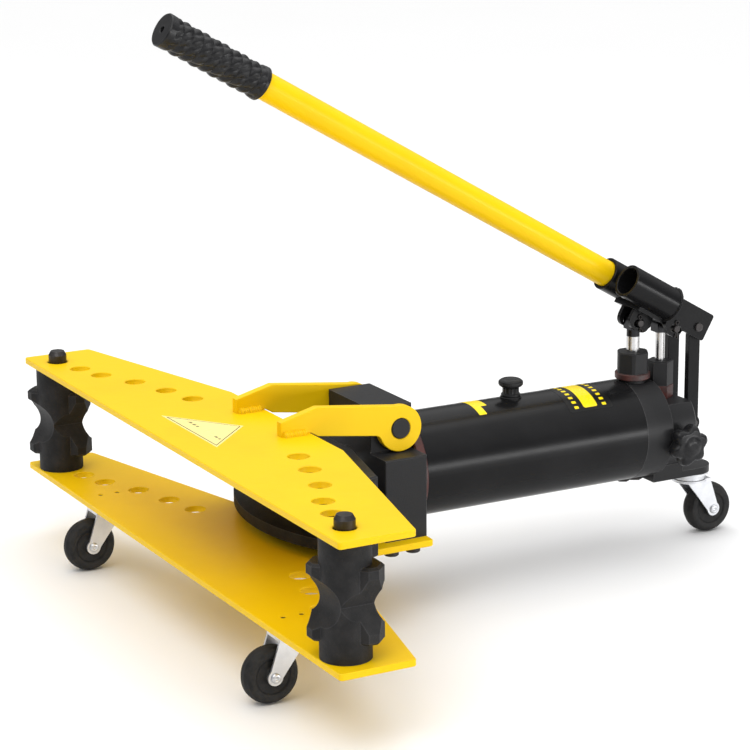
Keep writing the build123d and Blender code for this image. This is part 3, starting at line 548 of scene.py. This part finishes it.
def reach(node, origin, axis):
    """Where a CAD part starts and ends along an axis, and how far out from it the part goes."""
    steps = [vertex.co - origin for vertex in nodes[node].data.vertices]
    along = [step.dot(axis) for step in steps]
    out = [(step - axis * step.dot(axis)).length for step in steps]
    return min(along), max(along), max(out)


def across(axis):
    """Two directions at right angles to an axis and to each other."""
    side = axis.cross(Vector((1, 0, 0)) if abs(axis.x) < 0.9 else Vector((0, 0, 1))).normalized()
    return side, axis.cross(side)


def piece(name, mesh, body, finish, *replaced):
    """Makes a mesh a finished piece of the object that rides on a CAD body."""
    work = bmesh.new()
    work.from_mesh(mesh)
    bmesh.ops.remove_doubles(work, verts=work.verts, dist=1e-6)
    bmesh.ops.recalc_face_normals(work, faces=work.faces)
    work.to_mesh(mesh)
    work.free()
    mesh.materials.append(finish.material)
    mesh.shade_smooth()
    mesh.set_sharp_from_angle(angle=SHARP_ANGLE)
    made = linked(name, mesh)
    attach(made, body)
    if replaced:
        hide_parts(*replaced)


def turned(name, profile, origin, axis, sides=64, ripple=None):
    """A mesh turned round an axis. profile is (radius, distance) pairs, closed into a ring."""
    side, other = across(axis)
    points = []
    for step in range(sides):
        angle = 2 * math.pi * step / sides
        outward = side * math.cos(angle) + other * math.sin(angle)
        for radius, along in profile:
            pushed = ripple(radius, along, angle) if ripple else radius
            points.append(origin + outward * pushed + axis * along)
    count = len(profile)
    faces = []
    for step in range(sides):
        here, beyond = step * count, (step + 1) % sides * count
        for index in range(count):
            following = (index + 1) % count
            faces.append((here + index, here + following, beyond + following, beyond + index))
    mesh = bpy.data.meshes.new(name)
    mesh.from_pydata(points, [], faces)
    return mesh


def rounded(corners, size, steps=4):
    """A profile with its corners cut to arcs of about this size, smaller where a side is short."""
    profile = []
    for index, (radius, along) in enumerate(corners):
        corner = Vector((radius, along))
        before = Vector(corners[index - 1]) - corner
        after = Vector(corners[(index + 1) % len(corners)]) - corner
        if radius <= 1e-6:
            profile.append((radius, along))
            continue
        cut = min(size, before.length * 0.45, after.length * 0.45)
        first, last = corner + before.normalized() * cut, corner + after.normalized() * cut
        for step in range(steps + 1):
            share = step / steps
            bend = first.lerp(corner, share).lerp(corner.lerp(last, share), share)
            profile.append((max(bend.x, 0.0), bend.y))
    return profile


print("lathe ready")

# %% [markdown]
# ## The grip
# A rubber sleeve pushed on the end of the handle, moulded with rows of rounded bumps that wind
# round it, a plain collar towards the tube and a flat end with a small hole. The bumps are real
# shape, because they break the outline: the ripple multiplies a wave along the grip by one round
# it, and the wave round it slides on by half a bump from row to row.

# %% Grip with bumps
socket = mounts["spare_socket"]
handle_axis = Vector(socket["axis"]).normalized()
handle_mouth = Vector((-socket["pos_m"][0], *socket["pos_m"][1:]))
grip_start, grip_end, grip_radius = reach("handle_grip", handle_mouth, handle_axis)
tube_radius = reach("handle_tube", handle_mouth, handle_axis)[2]
BUMP_PITCH, BUMPS_ROUND, BUMP_HEIGHT = 0.0122, 8, 0.0026
COLLAR_LENGTH, CAP_LENGTH = 0.006, 0.0085
HOLE_RADIUS, HOLE_DEPTH, TUBE_GAP = 0.0035, 0.0045, 0.0001
bumps_from, bumps_to = grip_start + COLLAR_LENGTH, grip_end - CAP_LENGTH


def grip_bumps(radius, along, angle):
    """Radius of the grip's outer skin: bumps in the middle, plain at both ends."""
    if radius < grip_radius - BUMP_HEIGHT - 1e-6 or not bumps_from < along < bumps_to:
        return radius
    row = (along - bumps_from) / BUMP_PITCH
    turn = angle * BUMPS_ROUND / (2 * math.pi) + 0.5 * row
    hill = abs(math.cos(math.pi * row)) ** 0.8 * abs(math.cos(math.pi * turn)) ** 0.8
    return grip_radius - BUMP_HEIGHT + BUMP_HEIGHT * 0.9 * hill


SKIN_STEPS = 110
skin = [bumps_from + (bumps_to - bumps_from) * step / SKIN_STEPS for step in range(SKIN_STEPS + 1)]
grip_profile = [
    (tube_radius + TUBE_GAP, grip_start),
    (grip_radius - 0.0008, grip_start),
    (grip_radius, grip_start + 0.0008),
    (grip_radius, bumps_from - 0.0018),
    (grip_radius - 0.0006, bumps_from - 0.0008),
    *[(grip_radius - BUMP_HEIGHT, along) for along in skin[1:-1]],
    (grip_radius - 0.0006, bumps_to + 0.0003),
    (grip_radius - 0.0004, grip_end - 0.0012),
    (grip_radius - 0.0014, grip_end),
    (HOLE_RADIUS + 0.0006, grip_end),
    (HOLE_RADIUS, grip_end - 0.0006),
    (HOLE_RADIUS, grip_end - HOLE_DEPTH),
    (tube_radius + TUBE_GAP, grip_end - HOLE_DEPTH),
]
grip_mesh = turned("grip_with_bumps", grip_profile, handle_mouth, handle_axis, 120, grip_bumps)
piece("grip_with_bumps", grip_mesh, "handle", grip_rubber, "handle_grip")
bump_rows = round((bumps_to - bumps_from) / BUMP_PITCH)
print("grip", round(grip_end - grip_start, 3), "m long with", bump_rows, "rows")

# %% [markdown]
# ## Caster wheels and their axles
# Each wheel is one solid rubber moulding. A shallow step rings each side inside the tread, and the
# hub stands out round the axle. The tread is lightly crowned. The axle is a rivet, so its heads are
# low domes with a dimple where the press closed them.


# %% Wheels and rivets
def mirrored(half_profile):
    """A closed wheel profile from its outer half, listed from the bore outwards."""
    return half_profile + [(radius, -along) for radius, along in reversed(half_profile)]


def wheel_profile(radius, bore, width):
    """Half of a wheel, from the bore at the hub's face, out over the side, to the tread's middle."""
    face = width / 2
    outline = [
        (bore, face - 0.0004),
        (bore + 0.0042, face - 0.0004),
        (bore + 0.0050, face - 0.0030),
        (radius * 0.60, face - 0.0030),
        (radius * 0.64, face - 0.0012),
        (radius * 0.80, face - 0.0006),
        (radius * 0.90, face - 0.0016),
        (radius - 0.0018, face - 0.0042),
        (radius - 0.0002, face - 0.0075),
    ]
    soft = rounded([(bore, 0.0)] + outline + [(radius, 0.0)], 0.0009, 3)
    return [point for point in soft if point[1] > 0.0002]


RIVET_HEAD, RIVET_GAP = 0.0028, 0.0003
wheel_joints = [joint for name, joint in joints.items() if name.startswith("wheel_spin")]
for joint in wheel_joints:
    place = joint["name"].replace("wheel_spin_", "")
    hub = Vector(joint["pos_m"])
    axle = Vector(joint["axis"]).normalized()
    low, high, wheel_radius = reach("caster_wheel_" + place, hub, axle)
    steps = [vertex.co - hub for vertex in nodes["caster_wheel_" + place].data.vertices]
    bore = min((step - axle * step.dot(axle)).length for step in steps)
    half_profile = wheel_profile(wheel_radius, bore, high - low)
    wheel_mesh = turned("wheel_" + place, mirrored(half_profile), hub, axle, 96)
    piece("wheel_" + place, wheel_mesh, "wheel_" + place, wheel_rubber, "caster_wheel_" + place)

    start, end, head_radius = reach("caster_axle_" + place, hub, axle)
    shank = bore - RIVET_GAP
    rivet = rounded([
        (0.0, end - 0.0016),
        (0.0016, end - 0.0010),
        (0.0026, end),
        (head_radius - 0.0010, end - 0.0006),
        (head_radius, end - RIVET_HEAD),
        (shank, end - RIVET_HEAD),
        (shank, start + RIVET_HEAD),
        (head_radius, start + RIVET_HEAD),
        (head_radius - 0.0010, start + 0.0006),
        (0.0026, start),
        (0.0016, start + 0.0010),
        (0.0, start + 0.0016),
    ], 0.0008, 3)
    rivet_mesh = turned("rivet_" + place, rivet, hub, axle, 40)
    piece("rivet_" + place, rivet_mesh, "swivel_" + place, zinc, "caster_axle_" + place)
    print("wheel", place, "is", round(2000 * wheel_radius, 1), "mm across")

# %% [markdown]
# ## The filler plug
# The tank is filled through a plug on top, a mushroom of black plastic: a wide thin cap to turn,
# a ribbed neck, and a collar on the tank's boss. The ribs are a ripple on the neck, and a finer one
# roughens the cap's rim for the fingers.

# %% Filler plug
UPWARD = Vector((0, 0, 1))
plug_foot = Vector(joints["filler_turn"]["pos_m"])
plug_low, plug_top, cap_radius = reach("filler_plug", plug_foot, UPWARD)
boss_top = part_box("filler_boss")[1].z - plug_foot.z
NECK_RADIUS, STEM_RADIUS = 0.0093, 0.0068
NECK_RIBS, NECK_RIB_DEPTH = 16, 0.0005
RIM_RIBS, RIM_RIB_DEPTH = 40, 0.0003
RIB_ZONE = 0.0004


def plug_ribs(radius, along, angle):
    """Ribs on the neck and a fine knurl on the cap's rim."""
    if abs(radius - NECK_RADIUS) < RIB_ZONE:
        return radius - NECK_RIB_DEPTH * abs(math.sin(angle * NECK_RIBS / 2))
    if radius > cap_radius - RIB_ZONE:
        return radius - RIM_RIB_DEPTH * abs(math.sin(angle * RIM_RIBS / 2))
    return radius


plug_profile = rounded([
    (0.0, plug_low),
    (STEM_RADIUS, plug_low),
    (STEM_RADIUS, boss_top + 0.0002),
    (NECK_RADIUS + 0.0016, boss_top + 0.0002),
    (NECK_RADIUS + 0.0016, boss_top + 0.0026),
    (NECK_RADIUS, boss_top + 0.0034),
    (NECK_RADIUS, plug_top - 0.0095),
    (cap_radius - 0.0012, plug_top - 0.0078),
    (cap_radius, plug_top - 0.0060),
    (cap_radius, plug_top - 0.0026),
    (cap_radius - 0.0030, plug_top - 0.0004),
    (cap_radius * 0.62, plug_top),
    (cap_radius * 0.58, plug_top - 0.0006),
    (0.0, plug_top - 0.0006),
], 0.0009, 3)
plug_mesh = turned("ribbed_filler_plug", plug_profile, plug_foot, UPWARD, 160, plug_ribs)
piece("ribbed_filler_plug", plug_mesh, "filler", black_plastic, "filler_plug")
print("filler cap", round(2000 * cap_radius, 1), "mm across")

# %% [markdown]
# ## The release knob
# A six-lobed star of moulded plastic on the valve's stem. A lathe can make it too: the radius
# swings with the angle, six times a turn, and the lobes fade out towards the round boss in the
# middle, so the whole knob is one smooth skin with no joins.

# %% Star knob
knob_axis = Vector((1, 0, 0))
knob_centre = Vector(joints["release_turn"]["pos_m"])
knob_back, knob_front, knob_radius = reach("release_knob", knob_centre, knob_axis)
LOBES, LOBE_DEPTH, LOBE_TURN = 6, 0.0058, math.radians(15)
KNOB_BOSS_RADIUS = 0.0085


def knob_lobes(radius, along, angle):
    """Deep rounded scallops between six lobes, fading to nothing at the boss."""
    fade = max(0.0, min(1.0, (radius - KNOB_BOSS_RADIUS) / (knob_radius - KNOB_BOSS_RADIUS)))
    swing = 0.5 - 0.5 * math.cos(LOBES * (angle - LOBE_TURN))
    return radius - LOBE_DEPTH * fade**1.5 * swing**1.3


knob_profile = rounded([
    (0.0, knob_back),
    (knob_radius - 0.0050, knob_back),
    (knob_radius - 0.0008, knob_back + 0.0030),
    (knob_radius, knob_back + 0.0080),
    (knob_radius - 0.0010, knob_front - 0.0065),
    (knob_radius - 0.0050, knob_front - 0.0030),
    (KNOB_BOSS_RADIUS + 0.0040, knob_front - 0.0026),
    (KNOB_BOSS_RADIUS, knob_front - 0.0010),
    (KNOB_BOSS_RADIUS * 0.6, knob_front),
    (0.0, knob_front),
], 0.0020, 5)
knob_mesh = turned("star_knob", knob_profile, knob_centre, knob_axis, 144, knob_lobes)
piece("star_knob", knob_mesh, "release_valve", black_plastic, "release_knob")
print("knob", round(2000 * knob_radius, 1), "mm over its lobes")

# %% [markdown]
# ## Weld beads
# The arms are welded to the top plate, and the sockets to the lever's cheeks. A hand-laid bead is a
# row of overlapping puddles. So a bead here is swept along its line in short steps, and its size
# swells and dips once a puddle, with a slow drift so that no two puddles match.


# %% Beads swept along a line
BEAD_STEP, BEAD_ROOT, PUDDLE = 0.0006, 0.0004, 0.0024


def bead(points, outward, rise, size):
    """Vertices and faces of a weld bead along points, in the corner between outward and rise."""
    verts, faces, ring = [], [], 7
    travelled = 0.0
    for index, point in enumerate(points):
        travelled += (point - points[index - 1]).length if index else 0.0
        beat = abs(math.sin(math.pi * travelled / PUDDLE))
        drift = 0.06 * math.sin(travelled * 520) + 0.05 * math.sin(travelled * 1310 + 1)
        taper = min(1.0, 0.35 + 0.3 * min(index, len(points) - 1 - index))
        swell = size * taper * (0.78 + 0.16 * beat + drift)
        for step in range(ring):
            angle = math.pi / 2 * step / (ring - 1)
            facing = outward(point) * math.cos(angle) + rise(point) * math.sin(angle)
            verts.append(point + facing * swell)
        verts.append(point - (outward(point) + rise(point)) * BEAD_ROOT)
        for step in range(ring + 1 if index else 0):
            here, back = index * (ring + 1), (index - 1) * (ring + 1)
            following = (step + 1) % (ring + 1)
            faces.append((back + step, back + following, here + following, here + step))
    faces.append(tuple(range(ring + 1)))
    faces.append(tuple(range((len(points) - 1) * (ring + 1), len(points) * (ring + 1))))
    return verts, faces


def merged(name, body, finish, shells, *replaced):
    """One piece from several shells, each given as its vertices and faces."""
    all_verts, all_faces = [], []
    for verts, faces in shells:
        offset = len(all_verts)
        all_verts += verts
        all_faces += [tuple(offset + corner for corner in face) for face in faces]
    mesh = bpy.data.meshes.new(name)
    mesh.from_pydata(all_verts, [], all_faces)
    piece(name, mesh, body, finish, *replaced)


# %% Beads on the arms
weld_low, weld_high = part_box("arm_welds")
arm_low, arm_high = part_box("arm_right")
bead_height = weld_high.z - weld_low.z
bead_steps = int((weld_high.y - weld_low.y) / BEAD_STEP)
arm_strings = []
for mirror in (1, -1):
    for face, way in ((arm_high.x, 1), (arm_low.x, -1)):
        along_arm = [weld_low.y + BEAD_STEP * step for step in range(bead_steps + 1)]
        line = [Vector((mirror * face, y, weld_low.z)) for y in along_arm]
        side = Vector((mirror * way, 0, 0))
        arm_strings.append(bead(line, lambda point, s=side: s, lambda point: UPWARD, bead_height))
merged("arm_weld_beads", "flap", yellow_enamel, arm_strings, "arm_welds")
print("arm beads", round(1000 * (weld_high.y - weld_low.y), 1), "mm long")

# %% Beads round the sockets
SOCKET_BEAD, SUNK = 0.0024, 0.0002
web_along = -reach("cheek_right", handle_mouth, handle_axis)[1]
socket_radius = reach("socket_right", Vector(socket["pos_m"]), handle_axis)[2]
side, other = across(handle_axis)
socket_strings = []
for mirror in (1, -1):
    middle = Vector((mirror * socket["pos_m"][0], *socket["pos_m"][1:]))
    centre = middle - handle_axis * (web_along - SUNK)
    ring_points = []
    for step in range(int(2 * math.pi * socket_radius / BEAD_STEP) + 1):
        angle = step * BEAD_STEP / socket_radius
        facing = side * math.cos(angle) + other * math.sin(angle)
        ring_points.append(centre + facing * (socket_radius - SUNK))
    socket_strings.append(bead(
        ring_points,
        lambda point, c=centre: (point - c).normalized(),
        lambda point: handle_axis,
        SOCKET_BEAD,
    ))
merged("socket_weld_beads", "lever", black_enamel, socket_strings)
print("socket beads sit", round(1000 * web_along, 1), "mm down the lever")

# %% [markdown]
# ## Split pins
# The plungers' cross pins are kept in by split pins: a bent wire with an eye on one side and two
# legs opened on the other. A wire is a tube swept along a short list of points. The eye is an arc, and
# the legs splay a little, one more than the other, as pliers leave them.


# %% Wires
def wire(points, radius, sides=8):
    """Vertices and faces of a round wire along points."""
    verts, faces = [], []
    for index, point in enumerate(points):
        ahead = points[min(index + 1, len(points) - 1)] - points[max(index - 1, 0)]
        side, other = across(ahead.normalized())
        for step in range(sides):
            angle = 2 * math.pi * step / sides
            facing = side * math.cos(angle) + other * math.sin(angle)
            verts.append(point + facing * radius)
        for step in range(sides if index else 0):
            here, back, following = index * sides, (index - 1) * sides, (step + 1) % sides
            faces.append((back + step, back + following, here + following, here + step))
    faces.append(tuple(range(sides)))
    faces.append(tuple(range((len(points) - 1) * sides, len(points) * sides)))
    return verts, faces


WIRE, LEG, EYE = 0.0007, 0.0105, 0.0021
EYE_RISE, STRAIGHT, EYE_STEPS = 0.0055, 0.003, 12


def split_pin(end, lean):
    """A split pin hung through the end of a cross pin, one leg splayed more than the other."""
    along = Vector((0, math.sin(lean), -math.cos(lean)))
    sideways = Vector((0, math.cos(lean), math.sin(lean)))
    top = end - along * EYE_RISE
    path = [
        end + along * LEG + sideways * 0.0026,
        end + along * (LEG * 0.55) + sideways * 0.0009,
        end + along * STRAIGHT + sideways * WIRE,
        top + sideways * WIRE,
    ]
    for step in range(1, EYE_STEPS):
        angle = math.radians(30 + 300 * step / EYE_STEPS)
        facing = along * math.cos(angle) + sideways * math.sin(angle)
        path.append(top - along * EYE + facing * EYE)
    path += [
        top - sideways * WIRE,
        end + along * STRAIGHT - sideways * WIRE,
        end + along * (LEG * 0.55) - sideways * 0.0008,
        end + along * LEG * 0.9 - sideways * 0.0014,
    ]
    return wire(path, WIRE)


PIN_END_INSET = 0.0012
for node, body, lean in (
    ("large_plunger_pin", "large_pump", 0.06),
    ("small_plunger_pin", "small_pump", -0.1),
):
    low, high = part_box(node)
    level = (low + high) / 2
    end_places = (high.x - PIN_END_INSET, low.x + PIN_END_INSET)
    ends = [Vector((x, level.y, level.z)) for x in end_places]
    merged("split_pins_" + node, body, dark_steel, [split_pin(end, lean) for end in ends])
print("split pins on the two plunger pins")

# %% [markdown]
# ## Decals on the tank
# Thin printed film wrapped round the tube: two yellow bars near the head that meet in a T, and a
# black panel near the pump with a yellow block and two rows of dashes on it. Film has a visible
# edge, so each decal is a very thin shell that follows the tube, built row by row round it, and
# narrower in the first and last rows to round its corners. The marks are plain shapes and carry no
# words.


# %% Film wrapped round the tank
tank_low, tank_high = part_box("tank_tube")
tank_radius = (tank_high.x - tank_low.x) / 2
tank_z = tank_high.z - tank_radius
FILM_THICKNESS, FILM_LIFT, PRINT_LIFT = 0.00012, 0.00005, 0.00020


def film(middle_y, width, low_angle, high_angle, lift, corner=0.003, rows=40):
    """Vertices and faces of a decal on the tank, between two angles above the horizontal."""
    verts, faces = [], []
    length = math.radians(high_angle - low_angle) * tank_radius
    corner = min(corner, width / 2.01, length / 2.01)
    for row in range(rows + 1):
        arc = length * (0.5 - 0.5 * math.cos(math.pi * row / rows))
        from_end = min(arc, length - arc)
        missing = corner - math.sqrt(max(0.0, corner**2 - (corner - min(from_end, corner)) ** 2))
        angle = math.radians(low_angle) + arc / tank_radius
        for radius in (tank_radius + lift, tank_radius + lift + FILM_THICKNESS):
            for edge in (-1, 1):
                y = middle_y + edge * (width / 2 - missing)
                verts.append(Vector((radius * math.cos(angle), y, tank_z + radius * math.sin(angle))))
        if row:
            a, b = (row - 1) * 4, row * 4
            faces += [(a, a + 1, b + 1, b), (a + 2, b + 2, b + 3, a + 3)]
            faces += [(a, b, b + 2, a + 2), (a + 1, a + 3, b + 3, b + 1)]
    faces += [(0, 2, 3, 1), (rows * 4, rows * 4 + 1, rows * 4 + 3, rows * 4 + 2)]
    return verts, faces


yellow_film = moulded(
    "yellow_film", "decal_print", colour(0.93, 0.70, 0.01), colour(0.80, 0.60, 0.02),
    0.22, 0.004, 0.00001, 0.4,
)
black_film = moulded(
    "black_film", "decal_print", colour(0.006, 0.006, 0.006), colour(0.012, 0.012, 0.012),
    0.26, 0.004, 0.00001, 0.4,
)
PANEL_MIDDLE, PANEL_WIDTH, PANEL_LOW, PANEL_HIGH = 0.1535, 0.056, 46.0, 134.0
BLOCK_WIDTH, BLOCK_CORNER, PRINT_LOW, PRINT_HIGH = 0.0180, 0.0025, 50.0, 130.0
panel = film(PANEL_MIDDLE, PANEL_WIDTH, PANEL_LOW, PANEL_HIGH, FILM_LIFT)
merged("tank_panel_film", "base", black_film, [panel])

# Each bar: its middle along the tank, its width, and the two angles it runs between.
BARS, BAR_CORNER = ((0.0210, 0.0095, 62.5, 117.5), (0.0295, 0.0085, 78.0, 102.0)), 0.0008
bars = [film(*bar, FILM_LIFT, BAR_CORNER) for bar in BARS]
merged("tank_bar_film", "base", yellow_film, bars)

block = film(PANEL_MIDDLE, BLOCK_WIDTH, PRINT_LOW, PRINT_HIGH, PRINT_LIFT, BLOCK_CORNER)
merged("tank_block_film", "base", yellow_film, [block])

DASH_COUNT, DASH_ANGLE, DASH_WIDTH = 11, 3.6, 0.0052
DASH_CORNER, DASH_BENDS, ROW_OFFSET = 0.0004, 6, 0.0180
dashes = []
for side in (-1, 1):
    row_middle = PANEL_MIDDLE + side * ROW_OFFSET
    for index in range(DASH_COUNT):
        first = PRINT_LOW + (PRINT_HIGH - PRINT_LOW - DASH_ANGLE) * index / (DASH_COUNT - 1)
        last = first + DASH_ANGLE
        dashes.append(film(row_middle, DASH_WIDTH, first, last, PRINT_LIFT, DASH_CORNER, DASH_BENDS))
merged("tank_dash_film", "base", yellow_film, dashes)
print("tank decals on a", round(2000 * tank_radius, 1), "mm tube")
